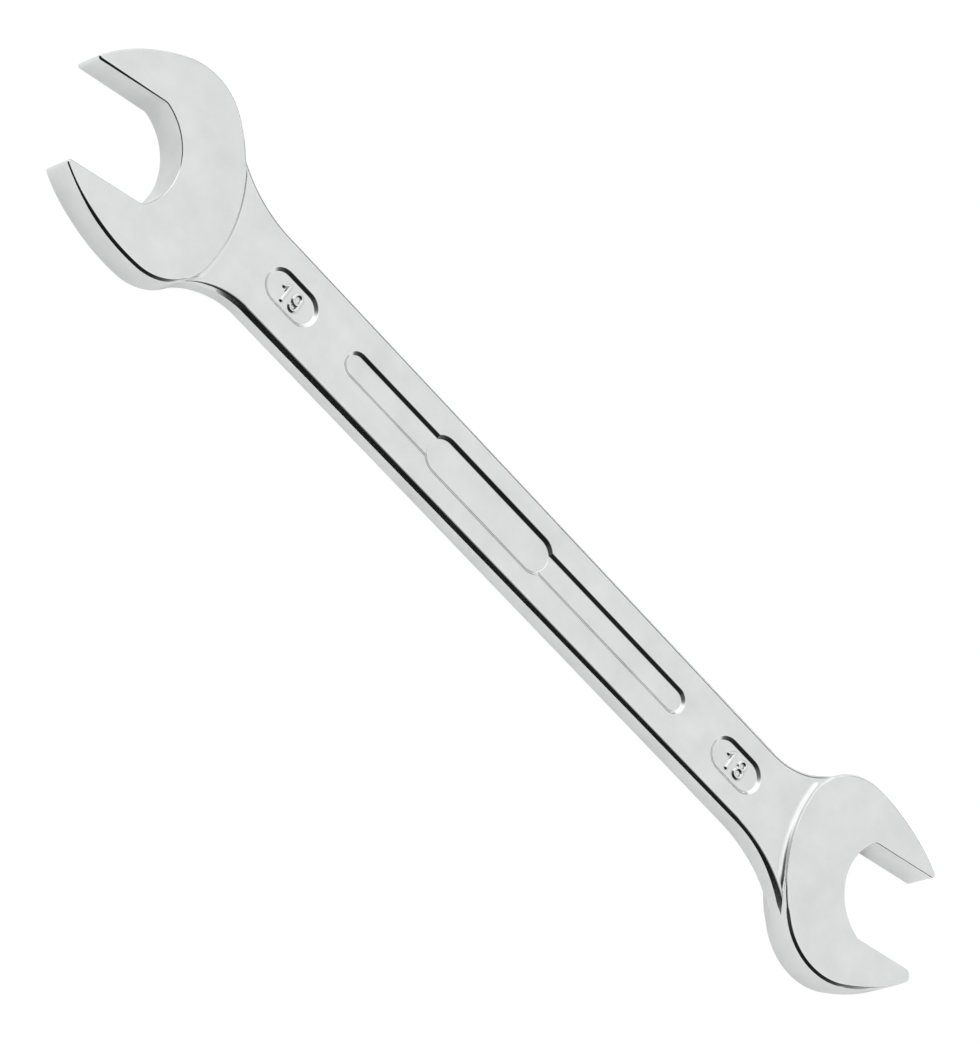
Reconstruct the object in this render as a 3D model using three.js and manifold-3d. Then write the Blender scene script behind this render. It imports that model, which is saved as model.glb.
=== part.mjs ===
// A double open end wrench in millimetres. It lies flat with +Z up and its larger jaws towards -X,
// and its origin is on the face below, under the middle of its outline. The real thing is one drop
// forging, two thick heads on a thinner shank with recessed panels, so it is one mesh.
import * as THREE from "three";
import { toCreasedNormals } from "three/addons/utils/BufferGeometryUtils.js";
import Module from "manifold-3d";

// The whole wrench. A jaw centre is where the middle of the nut sits.
const jawCentreDistance = 180.4;
const headTurnDegrees = 15;
const headThickness = 7.2;
const headEdgeRadius = 0.4;
const shankThickness = 4.8;
const stepRunout = 3;
const nutClearance = 0.2;

// Both heads. Each has a long jaw and a short one, whose outer side is its cheek. A cheek's crest
// is where it stands furthest out, measured from the jaw centre towards the shank. A shift is
// measured from the middle of the opening towards the short jaw.
const longCheekRadius = 33.8;
const longCheekCrest = 5.1;
const longCornerRadius = 12.7;
const shortCheekRadius = 36.9;
const shortCheekCrest = 7.8;
const shortCornerRadius = 10.9;
const shortTipRadius = 0.7;
const backRadius = 29;
const backShift = 2.25;
const throatSlack = 1.95;
const throatShift = 0.85;
const throatCornerRadius = 1.6;

// The large head, and the shank's section at its jaw centre
const largeNut = 19;
const largeLongJaw = 11.2;
const largeShortJaw = 11.3;
const largeLongTipRadius = 0.5;
const largeThroatDepth = 2.2;
const largeBackReach = 15.65;
const largeLongFlareRadius = 28;
const largeShortFlareRadius = 16;
const largeShankWidth = 17.1;
const largeShankEdgeRadius = 1.35;

// The small head, and the shank's section at its jaw centre
const smallNut = 18;
const smallLongJaw = 11.4;
const smallShortJaw = 10.6;
const smallLongTipRadius = 1.3;
const smallThroatDepth = 0.7;
const smallBackReach = 13.8;
const smallLongFlareRadius = 26;
const smallShortFlareRadius = 15;
const smallShankWidth = 15.1;
const smallShankEdgeRadius = 0.55;

// Recesses, alike on both faces: near each head an oval for its size, and between the ovals a
// narrow groove that a wider and deeper panel crosses. They are measured at the rim.
const ovalWidth = 7.3;
const ovalLength = 12.4;
const ovalDepth = 1;
const largeOvalSetback = 26.2;
const smallOvalSetback = 23.8;
const ovalToGroove = 8;
const grooveWidth = 5.6;
const grooveDepth = 0.85;
const panelWidth = 8.1;
const panelLength = 32.4;
const panelDepth = 1.05;
const panelShift = 7.3;
const recessDraft = 1.1;

// How far a facet may stand off its arc, how many facets go round an edge or a fillet, the sharpest
// turn that is shaded as smooth, and how far a cut runs past what it cuts
const facetDeviation = 0.025;
const edgeFacets = 3;
const stepFacets = 5;
const smoothDegrees = 20;
const overrun = 2;

const wasm = await Module();
wasm.setup();

const headTurn = THREE.MathUtils.degToRad(headTurnDegrees);
const shankStep = (headThickness - shankThickness) / 2;
const nowhere = new THREE.Vector2();

// Outlines are anticlockwise lists of these. outward faces away from the steel.
function vertex(point, outward) {
  return { point, outward };
}

// An arc about a centre. bend is 1 where the steel is inside it, and -1 where it is outside.
function arc(centre, from, to, bend) {
  const radius = centre.distanceTo(from);
  const start = from.clone().sub(centre).angle();
  const end = to.clone().sub(centre).angle();
  const sweep = THREE.MathUtils.euclideanModulo((end - start) * bend, 2 * Math.PI);
  const facets = Math.ceil(sweep / (2 * Math.acos(1 - facetDeviation / radius)));
  return Array.from({ length: facets + 1 }, (_, i) => {
    const ray = new THREE.Vector2(1, 0).rotateAround(nowhere, start + (bend * sweep * i) / facets);
    return vertex(centre.clone().addScaledVector(ray, radius), ray.clone().multiplyScalar(bend));
  });
}

// Runs of vertices that each start where the one before ends
function chain(...runs) {
  return runs.flatMap((run, i) => (i > 0 ? run.slice(1) : run));
}

function mirrored(run) {
  const flip = ({ x, y }) => new THREE.Vector2(x, -y);
  return run.map(({ point, outward }) => vertex(flip(point), flip(outward))).reverse();
}

function turned(run, angle, centre) {
  return run.map(({ point, outward }) =>
    vertex(
      point.clone().rotateAround(nowhere, angle).add(centre),
      outward.clone().rotateAround(nowhere, angle),
    ),
  );
}

function leftOf(way) {
  return new THREE.Vector2(-way.y, way.x);
}

// The point left of the way from a to b that is at one distance from a and another from b
function meeting(a, fromA, b, fromB) {
  const span = a.distanceTo(b);
  const along = (fromA ** 2 - fromB ** 2 + span ** 2) / (2 * span);
  const across = Math.sqrt(fromA ** 2 - along ** 2);
  const way = b.clone().sub(a).divideScalar(span);
  return a.clone().addScaledVector(way, along).addScaledVector(leftOf(way), across);
}

// The last point along a line that is at a distance from a centre
function lastOnLine(start, way, centre, distance) {
  const foot = start.clone().addScaledVector(way, centre.clone().sub(start).dot(way));
  return foot.addScaledVector(way, Math.sqrt(distance ** 2 - foot.distanceToSquared(centre)));
}

// The points of a circle that are nearest to another point and furthest from it
function nearest(centre, radius, other) {
  return centre.clone().add(other.clone().sub(centre).setLength(radius));
}

function furthest(centre, radius, other) {
  return centre.clone().add(centre.clone().sub(other).setLength(radius));
}

// A jaw and its side of the head, drawn above an opening that faces -X and is centred on zero.
// lean is where the shank, the throat and the back lie: 1 towards this jaw, as seen from the short
// jaw, and -1 away from it, as seen from the long one.
function jaw(head, { cheekRadius, crest, height, cornerRadius, tipRadius, flareRadius, lean }) {
  const flat = (head.nut + nutClearance) / 2;
  const backwards = new THREE.Vector2(1, 0);
  const forwards = new THREE.Vector2(-1, 0);

  const cheek = new THREE.Vector2(crest, flat + height - cheekRadius);
  const back = new THREE.Vector2(head.backReach - backRadius, lean * backShift);
  const corner = meeting(back, backRadius - cornerRadius, cheek, cheekRadius - cornerRadius);
  const tip = lastOnLine(new THREE.Vector2(0, flat + tipRadius), forwards, cheek, cheekRadius - tipRadius);

  const throatRadius = flat + throatSlack;
  const throat = new THREE.Vector2(head.throatDepth - throatRadius, lean * throatShift);
  const filletLine = new THREE.Vector2(0, flat - throatCornerRadius);
  const fillet = lastOnLine(filletLine, backwards, throat, throatRadius - throatCornerRadius);

  // The shank's side is the straight line through its half widths at both jaw centres. Its flare
  // runs into the head's back, or past that into the corner between the back and the cheek.
  const beside = (x, width) => new THREE.Vector2(x, width / 2).rotateAround(nowhere, lean * headTurn);
  const side = beside(0, head.shankWidth);
  const shankwards = beside(jawCentreDistance, head.farShankWidth).sub(side).normalize();
  const flareLine = side.addScaledVector(leftOf(shankwards), flareRadius);
  const flareAt = (centre, radius) => lastOnLine(flareLine, shankwards, centre, flareRadius + radius);
  const cornerStart = furthest(corner, cornerRadius, back);
  const onBack = leftOf(flareAt(back, backRadius).sub(back)).dot(cornerStart.clone().sub(back)) > 0;
  const flare = onBack ? flareAt(back, backRadius) : flareAt(corner, cornerRadius);

  const flareStart = flare.clone().addScaledVector(leftOf(shankwards), -flareRadius);
  const flareEnd = nearest(flare, flareRadius, onBack ? back : corner);
  const cheekStart = furthest(corner, cornerRadius, cheek);
  const cheekEnd = furthest(tip, tipRadius, cheek);
  const tipEnd = new THREE.Vector2(tip.x, flat);
  const filletStart = new THREE.Vector2(fillet.x, flat);
  const throatStart = furthest(fillet, throatCornerRadius, throat);
  const flareRun = arc(flare, flareStart, flareEnd, -1);
  const cornerRun = onBack
    ? chain(arc(back, flareEnd, cornerStart, 1), arc(corner, cornerStart, cheekStart, 1))
    : arc(corner, flareEnd, cheekStart, 1);
  const cheekRun = arc(cheek, cheekStart, cheekEnd, 1);
  const tipRun = arc(tip, cheekEnd, tipEnd, 1);
  const filletRun = arc(fillet, filletStart, throatStart, -1);
  return {
    throat,
    back,
    flareRun,
    sideRun: [...chain(flareRun, cornerRun, cheekRun, tipRun), ...filletRun],
    backRun: onBack ? [flareRun.at(-1)] : arc(corner, cornerStart, flareEnd, 1),
  };
}

// A head's outline, from the shank's side at the long jaw round to its side at the short one, with
// its two flares into the shank and the back edge between them
function headRuns(head, angle, centre) {
  const long = jaw(head, head.long);
  const short = jaw(head, head.short);
  const shortSide = mirrored(short.sideRun);
  const shortBack = mirrored(short.backRun);
  const throat = arc(long.throat, long.sideRun.at(-1).point, shortSide[0].point, -1);
  const back = arc(long.back, shortBack.at(-1).point, long.backRun[0].point, 1);
  return {
    outline: turned(chain(long.sideRun, throat, shortSide), angle, centre),
    longFlare: turned(long.flareRun, angle, centre),
    shortFlare: turned(mirrored(short.flareRun), angle, centre),
    backEdge: turned(chain(shortBack, back, long.backRun), angle, centre),
  };
}

// A recess's outline, with half round ends
function obround(middle, length, width) {
  const reach = (length - width) / 2;
  const at = (x, y) => new THREE.Vector2(x, y);
  const halfRound = (x, radius) => arc(at(x, 0), at(x, -radius), at(x, radius), 1);
  return [...halfRound(middle + reach, width / 2), ...halfRound(middle - reach, -width / 2)];
}

// An outline as points in space, drawn in by a distance and at a height
function ring(run, inset, height) {
  return run.map(({ point, outward }) => {
    const { x, y } = point.clone().addScaledVector(outward, -inset);
    return new THREE.Vector3(x, y, height);
  });
}

function upsideDown(rings) {
  const flip = new THREE.Vector3(1, 1, -1);
  return rings.map((points) => points.map((point) => point.clone().multiply(flip))).reverse();
}

// The solid through rings of equally many points, from the lowest ring to the highest
function loft(rings) {
  const count = rings[0].length;
  const corners = [];
  for (let high = count; high < count * rings.length; high += count) {
    const low = high - count;
    for (let here = 0; here < count; here += 1) {
      const next = (here + 1) % count;
      corners.push(low + here, low + next, high + next, low + here, high + next, high + here);
    }
  }
  const cap = (points) =>
    THREE.ShapeUtils.triangulateShape(points.map(({ x, y }) => new THREE.Vector2(x, y)), []);
  const last = count * (rings.length - 1);
  cap(rings[0]).forEach((triangle) => corners.push(...triangle.reverse()));
  cap(rings.at(-1)).forEach((triangle) => corners.push(...triangle.map((corner) => last + corner)));
  const vertProperties = Float32Array.from(rings.flat().flatMap((point) => point.toArray()));
  const triVerts = Uint32Array.from(corners);
  return new wasm.Manifold(new wasm.Mesh({ numProp: 3, vertProperties, triVerts }));
}

// Steps through a quarter turn
function quarterTurn(facets) {
  return Array.from({ length: facets + 1 }, (_, i) => (i * Math.PI) / (2 * facets));
}

// A plate about z = 0 with rounded edges. radiusAt gives the edge's radius at a point.
function plate(run, thickness, radiusAt) {
  const upper = quarterTurn(edgeFacets).map((angle) =>
    run.map(({ point, outward }) => {
      const radius = radiusAt(point);
      const { x, y } = point.clone().addScaledVector(outward, radius * (Math.cos(angle) - 1));
      return new THREE.Vector3(x, y, thickness / 2 + radius * (Math.sin(angle) - 1));
    }),
  );
  return loft([...upsideDown(upper), ...upper]);
}

// Everything on a head's side of its back edge, with the concave fillet of the step down to the
// shank. The fillet runs out towards the ends of the edge, where the flares begin.
function headSpace({ backEdge }, angle, centre) {
  const wayOff = jawCentreDistance / 2;
  const first = backEdge[0];
  const last = backEdge.at(-1);
  const edge = backEdge.map(({ point, outward }) => {
    const share = Math.min(point.distanceTo(first.point), point.distanceTo(last.point)) / stepRunout;
    return vertex(point, outward.clone().multiplyScalar(Math.min(share, 1)));
  });
  const inFront = (y) => new THREE.Vector2(-wayOff, y).rotateAround(nowhere, angle).add(centre);
  const around = [
    last.point.clone().addScaledVector(last.outward, wayOff),
    inFront(wayOff),
    inFront(-wayOff),
    first.point.clone().addScaledVector(first.outward, wayOff),
  ].map((point) => vertex(point, nowhere));
  const run = [...edge, ...around];
  const fillet = quarterTurn(stepFacets).map((turn) =>
    ring(run, shankStep * (Math.cos(turn) - 1), headThickness / 2 - shankStep * Math.sin(turn)),
  );
  const upper = [...fillet.reverse(), ring(run, 0, headThickness / 2 + overrun)];
  return loft([...upsideDown(upper), ...upper]);
}

// The same recess in both faces of the shank
function recesses(run, depth) {
  const face = shankThickness / 2;
  const rings = [ring(run, recessDraft, face - depth), ring(run, 0, face), ring(run, 0, face + overrun)];
  return loft(rings).add(loft(upsideDown(rings)));
}

const longSide = {
  cheekRadius: longCheekRadius,
  crest: longCheekCrest,
  cornerRadius: longCornerRadius,
  lean: -1,
};
const shortSide = {
  cheekRadius: shortCheekRadius,
  crest: shortCheekCrest,
  cornerRadius: shortCornerRadius,
  tipRadius: shortTipRadius,
  lean: 1,
};
const large = {
  nut: largeNut,
  backReach: largeBackReach,
  throatDepth: largeThroatDepth,
  shankWidth: largeShankWidth,
  farShankWidth: smallShankWidth,
  long: {
    ...longSide,
    height: largeLongJaw,
    tipRadius: largeLongTipRadius,
    flareRadius: largeLongFlareRadius,
  },
  short: { ...shortSide, height: largeShortJaw, flareRadius: largeShortFlareRadius },
};
const small = {
  nut: smallNut,
  backReach: smallBackReach,
  throatDepth: smallThroatDepth,
  shankWidth: smallShankWidth,
  farShankWidth: largeShankWidth,
  long: {
    ...longSide,
    height: smallLongJaw,
    tipRadius: smallLongTipRadius,
    flareRadius: smallLongFlareRadius,
  },
  short: { ...shortSide, height: smallShortJaw, flareRadius: smallShortFlareRadius },
};

const largeCentre = new THREE.Vector2(-jawCentreDistance / 2, 0);
const smallCentre = new THREE.Vector2(jawCentreDistance / 2, 0);
const smallTurn = headTurn + Math.PI;
const largeHead = headRuns(large, headTurn, largeCentre);
const smallHead = headRuns(small, smallTurn, smallCentre);

const largeSpace = headSpace(largeHead, headTurn, largeCentre);
const smallSpace = headSpace(smallHead, smallTurn, smallCentre);
const outline = [...largeHead.outline, ...smallHead.outline];
const heads = plate(outline, headThickness, () => headEdgeRadius).intersect(largeSpace.add(smallSpace));
const shankRun = [
  ...largeHead.shortFlare,
  ...smallHead.longFlare,
  ...smallHead.shortFlare,
  ...largeHead.longFlare,
];
const shank = plate(shankRun, shankThickness, ({ x }) =>
  THREE.MathUtils.mapLinear(x, largeCentre.x, smallCentre.x, largeShankEdgeRadius, smallShankEdgeRadius),
);

const largeOvalStart = largeCentre.x + largeOvalSetback;
const smallOvalStart = smallCentre.x - smallOvalSetback;
const grooveStart = largeOvalStart + ovalLength + ovalToGroove;
const grooveEnd = smallOvalStart - ovalLength - ovalToGroove;
const grooveMiddle = (grooveStart + grooveEnd) / 2;
const cuts = [
  recesses(obround(largeOvalStart + ovalLength / 2, ovalLength, ovalWidth), ovalDepth),
  recesses(obround(smallOvalStart - ovalLength / 2, ovalLength, ovalWidth), ovalDepth),
  recesses(obround(grooveMiddle, grooveEnd - grooveStart, grooveWidth), grooveDepth),
  recesses(obround(grooveMiddle - panelShift, panelLength, panelWidth), panelDepth),
];
const forging = cuts.reduce((body, cut) => body.subtract(cut), shank.add(heads));

const { vertProperties, triVerts } = forging.getMesh();
const geometry = new THREE.BufferGeometry();
geometry.setAttribute("position", new THREE.BufferAttribute(vertProperties, 3));
geometry.setIndex(new THREE.BufferAttribute(triVerts, 1));
geometry.computeBoundingBox();
const { min, max } = geometry.boundingBox;
geometry.translate(-(min.x + max.x) / 2, -(min.y + max.y) / 2, -min.z);

const chrome = new THREE.MeshStandardMaterial({ color: 0xd2d4d6, metalness: 1, roughness: 0.28 });
const shaded = toCreasedNormals(geometry, THREE.MathUtils.degToRad(smoothDegrees));
const wrench = new THREE.Mesh(shaded, chrome);
wrench.name = "wrench_forging";

const model = new THREE.Group();
model.add(wrench);
export default model;
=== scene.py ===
"""A double open end wrench in satin chrome, lying on a pale floor.

The real thing is one drop forging, so one mesh replaces its solid: two thick heads on a thinner
shank, with recesses and raised size numbers on both faces. Sizes are in millimetres, and the
finished mesh is in metres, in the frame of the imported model.
"""

from __future__ import annotations

import logging
import math
from collections.abc import Mapping, Sequence
from dataclasses import dataclass
from enum import Enum

import bpy
import numpy as np
from mathutils import Matrix, Vector


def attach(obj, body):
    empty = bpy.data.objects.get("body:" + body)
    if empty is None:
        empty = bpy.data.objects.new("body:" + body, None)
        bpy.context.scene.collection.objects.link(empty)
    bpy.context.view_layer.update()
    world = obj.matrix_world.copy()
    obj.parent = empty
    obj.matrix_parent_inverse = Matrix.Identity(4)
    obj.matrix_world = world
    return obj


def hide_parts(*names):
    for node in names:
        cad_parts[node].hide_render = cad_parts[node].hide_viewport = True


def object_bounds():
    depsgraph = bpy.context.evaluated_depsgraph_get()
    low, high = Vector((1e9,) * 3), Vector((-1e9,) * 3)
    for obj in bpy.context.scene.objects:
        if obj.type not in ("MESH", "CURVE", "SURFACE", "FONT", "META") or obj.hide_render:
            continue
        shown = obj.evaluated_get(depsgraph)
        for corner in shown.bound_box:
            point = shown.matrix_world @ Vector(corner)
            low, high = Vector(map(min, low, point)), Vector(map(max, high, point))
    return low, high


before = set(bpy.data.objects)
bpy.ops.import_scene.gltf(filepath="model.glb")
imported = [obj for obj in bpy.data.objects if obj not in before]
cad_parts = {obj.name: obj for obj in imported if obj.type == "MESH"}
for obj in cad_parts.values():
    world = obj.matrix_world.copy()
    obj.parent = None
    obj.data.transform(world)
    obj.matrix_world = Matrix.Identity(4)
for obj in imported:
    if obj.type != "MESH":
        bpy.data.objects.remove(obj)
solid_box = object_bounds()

Array = np.ndarray
Socket = bpy.types.NodeSocket
Inputs = Mapping[str | int, Socket | float | Sequence[float]]
LOG = logging.getLogger("wrench")
METRES_PER_MM = 0.001

# How far apart the jaw centres are, and how far each opening is turned from the shank's line
JAW_CENTRE_DISTANCE = 180.4
HEAD_TURN = math.radians(15)

# How far a cutting solid stands off a face that it would share, and how far it runs past the steel
LIFT = 0.004
OVERRUN = 2.0

# The mesh attribute that is 1 on the ground faces, which lie level, and 0 on the others
GROUND_FACES = "ground_faces"

# The weight at which a corner's shading follows the largest face beside it
FULL_WEIGHT = 100


class Joining(Enum):
    """How one solid is combined with another."""

    ADD = "UNION"
    CUT = "DIFFERENCE"
    SHARE = "INTERSECT"


@dataclass
class Solid:
    """A closed body in millimetres.

    Args:
        points: Its corners, an array of n by 3.
        faces: The corners of each face, anticlockwise as seen from outside.
    """

    points: Array
    faces: list[list[int]]

    def shown(self) -> bpy.types.Object:
        """Makes a Blender object with this shape.

        Returns:
            The object, in the scene and in millimetres.
        """
        mesh = bpy.data.meshes.new("blank")
        mesh.from_pydata(self.points.tolist(), [], self.faces)
        item = bpy.data.objects.new("blank", mesh)
        bpy.context.scene.collection.objects.link(item)
        return item

    def turned_over(self) -> Solid:
        """The solid turned half round about the X axis."""
        return Solid(self.points * np.array([1.0, -1.0, -1.0]), self.faces)

    def moved(self, x: float, y: float, z: float) -> Solid:
        """The solid moved by a distance along each axis."""
        return Solid(self.points + np.array([x, y, z]), self.faces)

    def combined(self, joining: Joining, others: Sequence[Solid]) -> Solid:
        """Joins other solids to this one, cuts it with them, or keeps what it shares with them.

        Args:
            joining: What is done with each of the others in turn.
            others: The other solids.

        Returns:
            The new solid.
        """
        blank, *tools = [solid.shown() for solid in (self, *others)]
        for tool in tools:
            modifier = blank.modifiers.new(joining.name, "BOOLEAN")
            modifier.operation = joining.value
            modifier.solver = "MANIFOLD"
            modifier.object = tool
        graph = bpy.context.evaluated_depsgraph_get()
        mesh = blank.evaluated_get(graph).to_mesh()
        points = np.empty(len(mesh.vertices) * 3)
        mesh.vertices.foreach_get("co", points)
        corners = np.empty(len(mesh.loops), dtype=np.int32)
        mesh.loops.foreach_get("vertex_index", corners)
        starts = np.empty(len(mesh.polygons), dtype=np.int32)
        mesh.polygons.foreach_get("loop_start", starts)
        faces = [part.tolist() for part in np.split(corners, starts[1:])]
        for item in (blank, *tools):
            bpy.data.meshes.remove(item.data)
        return Solid(points.reshape(-1, 3), faces)


@dataclass(frozen=True)
class Run:
    """A stretch of outline that goes anticlockwise round the steel.

    Args:
        points: Its points in the plan, an array of n by 2.
        outward: The unit way out of the steel at each point.
    """

    points: Array
    outward: Array

    def mirrored(self) -> Run:
        """The run turned over across the X axis and followed the other way."""
        flip = np.array([1.0, -1.0])
        return Run((self.points * flip)[::-1], (self.outward * flip)[::-1])

    def turned(self, angle: float, centre: Array) -> Run:
        """The run turned about zero by an angle, and then moved to a centre."""
        spin = np.array([[math.cos(angle), math.sin(angle)], [-math.sin(angle), math.cos(angle)]])
        return Run(self.points @ spin + centre, self.outward @ spin)

    def ring(self, inset: float | Array, height: float | Array) -> Array:
        """The run in space: each point less its way out times the inset, at the height."""
        plan = self.points - self.outward * np.reshape(inset, (-1, 1))
        return np.column_stack([plan, np.broadcast_to(height, len(plan))])


def chained(*runs: Run) -> Run:
    """Runs that each start where the one before ends, as one run.

    Args:
        runs: The runs in order.

    Returns:
        The whole run, with each shared point once.
    """
    points = [run.points[min(i, 1):] for i, run in enumerate(runs)]
    outward = [run.outward[min(i, 1):] for i, run in enumerate(runs)]
    return Run(np.concatenate(points), np.concatenate(outward))


def side_by_side(*runs: Run) -> Run:
    """Runs that are joined by straight lines, as one run.

    Args:
        runs: The runs in order.

    Returns:
        The whole run.
    """
    points = [run.points for run in runs]
    outward = [run.outward for run in runs]
    return Run(np.concatenate(points), np.concatenate(outward))


def arc(centre: Array, start: Array, end: Array, bend: int, deviation: float = 0.004) -> Run:
    """A circular arc: centre + radius (cos a, sin a), with a in equal steps from start to end.

    Args:
        centre: The middle of the circle.
        start: The first point.
        end: The last point.
        bend: 1 where the steel is inside the circle, and -1 where it is outside.
        deviation: How far a facet may stand off the circle.

    Returns:
        The arc, anticlockwise for a bend of 1 and clockwise for -1.
    """
    radius = math.dist(centre, start)
    first = math.atan2(*(start - centre)[::-1])
    last = math.atan2(*(end - centre)[::-1])
    sweep = ((last - first) * bend) % (2 * math.pi)
    facets = max(1, math.ceil(sweep / (2 * math.acos(1 - deviation / radius))))
    angles = first + bend * sweep * np.linspace(0, 1, facets + 1)
    rays = np.column_stack([np.cos(angles), np.sin(angles)])
    return Run(centre + radius * rays, bend * rays)


def unit(way: Array) -> Array:
    """The way with a length of one."""
    return way / np.linalg.norm(way)


def left_of(way: Array) -> Array:
    """The way turned a quarter turn anticlockwise."""
    return np.array([-way[1], way[0]])


def meeting(a: Array, from_a: float, b: Array, from_b: float) -> Array:
    """The point left of the way from a to b at one distance from a and another from b.

    With s the span from a to b, the point is (u^2 - v^2 + s^2) / 2s along it, from Pythagoras.

    Args:
        a: The first point.
        from_a: The distance u from it.
        b: The second point.
        from_b: The distance v from it.

    Returns:
        The point.
    """
    span = math.dist(a, b)
    along = (from_a**2 - from_b**2 + span**2) / (2 * span)
    across = math.sqrt(from_a**2 - along**2)
    way = unit(b - a)
    return a + way * along + left_of(way) * across


def last_on_line(start: Array, way: Array, centre: Array, distance: float) -> Array:
    """The last point along a line that is at a distance from a centre."""
    foot = start + way * np.dot(centre - start, way)
    return foot + way * math.sqrt(distance**2 - np.sum((foot - centre) ** 2))


def nearest(centre: Array, radius: float, other: Array) -> Array:
    """The point of a circle that is nearest to another point."""
    return centre + unit(other - centre) * radius


def furthest(centre: Array, radius: float, other: Array) -> Array:
    """The point of a circle that is furthest from another point."""
    return centre + unit(centre - other) * radius


def loft(rings: Sequence[Array], hollow: bool = False) -> Solid:
    """The solid through rings of equally many points, from the lowest ring to the highest.

    Corner (i, j) is point j of ring i, and each face joins (i, j), (i, j+1), (i+1, j+1), (i+1, j).

    Args:
        rings: The rings, each anticlockwise as seen from above.
        hollow: Whether the last ring joins the first, as round a hoop, instead of both being capped.

    Returns:
        The closed solid.
    """
    grid = np.arange(len(rings) * len(rings[0])).reshape(len(rings), -1)
    low = grid if hollow else grid[:-1]
    high = np.roll(grid, -1, axis=0) if hollow else grid[1:]
    quads = np.stack([low, np.roll(low, -1, 1), np.roll(high, -1, 1), high], axis=-1)
    caps = [] if hollow else [grid[0, ::-1].tolist(), grid[-1].tolist()]
    return Solid(np.concatenate(rings), quads.reshape(-1, 4).tolist() + caps)


def upside_down(rings: Sequence[Array]) -> list[Array]:
    """Rings mirrored through z = 0, in order from the lowest."""
    return [ring * np.array([1.0, 1.0, -1.0]) for ring in reversed(rings)]


def quarter_turn(facets: int) -> Array:
    """Equal steps of angle through a quarter turn."""
    return np.linspace(0, math.pi / 2, facets + 1)


def eased(share: Array) -> Array:
    """A smooth step, 3 s^2 - 2 s^3, of a share that is first held between 0 and 1."""
    held = np.clip(share, 0, 1)
    return held * held * (3 - 2 * held)


def between(value: Array, start: float, end: float) -> Array:
    """A smooth step of a value, 0 up to the start and 1 from the end."""
    return eased((value - start) / (end - start))


@dataclass(frozen=True)
class EdgeShape:
    """An edge's section between a face and a side: a soft arc, a bevel and a tight arc that touch.

    Args:
        bevel: The bevel's angle to the face, where the edge is as wide as it is deep.
        tight: The radius of the tight arc beside the side, as a share of the edge.
        facets: The facets of the soft arc, which has twice as many as the tight one.
    """

    bevel: float = math.radians(50)
    tight: float = 0.12
    facets: int = 6

    def shares(self) -> tuple[Array, Array]:
        """The section in a unit square.

        The soft arc's radius R and the bevel's length L solve R sin b + L cos b + t (1 - sin b) = 1
        and R (1 - cos b) + L sin b + t cos b = 1, with b the bevel's angle and t the tight radius.

        Returns:
            How far each point is in from the side, and how far down it is from the face.
        """
        sine, cosine = math.sin(self.bevel), math.cos(self.bevel)
        soft, _ = np.linalg.solve(
            [[sine, cosine], [1 - cosine, sine]], [1 - self.tight * (1 - sine), 1 - self.tight * cosine]
        )
        first = np.linspace(0, self.bevel, self.facets + 1)
        second = np.linspace(self.bevel, math.pi / 2, self.facets // 2 + 1)
        inward = np.concatenate([1 - soft * np.sin(first), self.tight * (1 - np.sin(second))])
        down = np.concatenate([soft * (1 - np.cos(first)), 1 - self.tight * np.cos(second)])
        return inward, down


@dataclass(frozen=True)
class Jaw:
    """One jaw and its side of a head, drawn above an opening that faces -X.

    Args:
        height: How far its cheek, the outer side, stands off the flat.
        cheek_radius: The radius of the cheek.
        crest: Where the cheek stands furthest out, from the jaw centre towards the shank.
        corner_radius: The radius between the cheek and the head's back.
        tip_radius: The radius at the tip.
        flare_radius: The radius in which the shank's side runs into the head.
        lean: 1 where the shank lies towards this jaw, and -1 where it lies away from it.
    """

    height: float
    cheek_radius: float
    crest: float
    corner_radius: float
    tip_radius: float
    flare_radius: float
    lean: int

    @classmethod
    def long(cls, height: float, tip_radius: float, flare_radius: float) -> Jaw:
        """A long jaw, from the sizes that differ between the heads."""
        return cls(
            height,
            cheek_radius=33.8,
            crest=5.1,
            corner_radius=12.7,
            tip_radius=tip_radius,
            flare_radius=flare_radius,
            lean=-1,
        )

    @classmethod
    def short(cls, height: float, flare_radius: float) -> Jaw:
        """A short jaw, from the sizes that differ between the heads."""
        return cls(
            height,
            cheek_radius=36.9,
            crest=7.8,
            corner_radius=10.9,
            tip_radius=0.7,
            flare_radius=flare_radius,
            lean=1,
        )


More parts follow.
